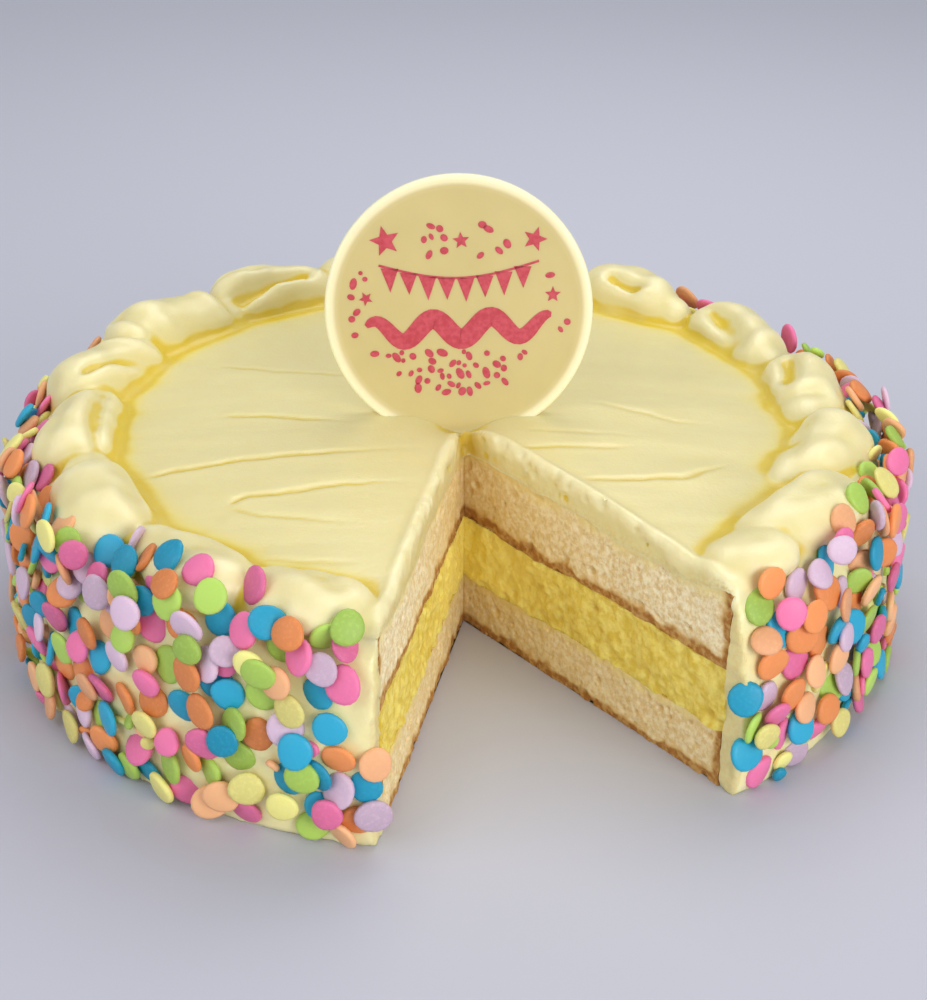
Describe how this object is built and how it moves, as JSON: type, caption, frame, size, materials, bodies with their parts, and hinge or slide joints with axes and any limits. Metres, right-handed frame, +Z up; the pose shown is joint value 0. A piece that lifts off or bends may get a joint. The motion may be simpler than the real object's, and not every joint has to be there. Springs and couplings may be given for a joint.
{
  "type": "birthday layer cake",
  "caption": "Round birthday layer cake with a piped buttercream border, confetti sprinkles on its side, an upright round plaque and a slice cut out.",
  "frame": {"origin": "middle of the cake's foot, on the surface that it stands on", "axes": "+Z up; the missing slice opens towards -Y and a little towards +X; the plaque's face looks towards -Y"},
  "size_m": [0.2184, 0.2158, 0.1086],
  "materials": {
    "sponge": "open crumb, pale with a brown crust",
    "custard_filling": "moist, lumpy, bright yellow",
    "buttercream": "smooth and soft, faint sheen",
    "white_chocolate": "satin, lighter bevelled rim",
    "sprinkles": "matte sugar discs in pastel colours",
    "print": "raspberry food ink, satin"
  },
  "bodies": {
    "root": {"sponge_lower": "sponge", "filling": "custard_filling", "sponge_upper": "sponge", "icing": "buttercream", "plaque": "white_chocolate"}
  },
  "joints": []
}
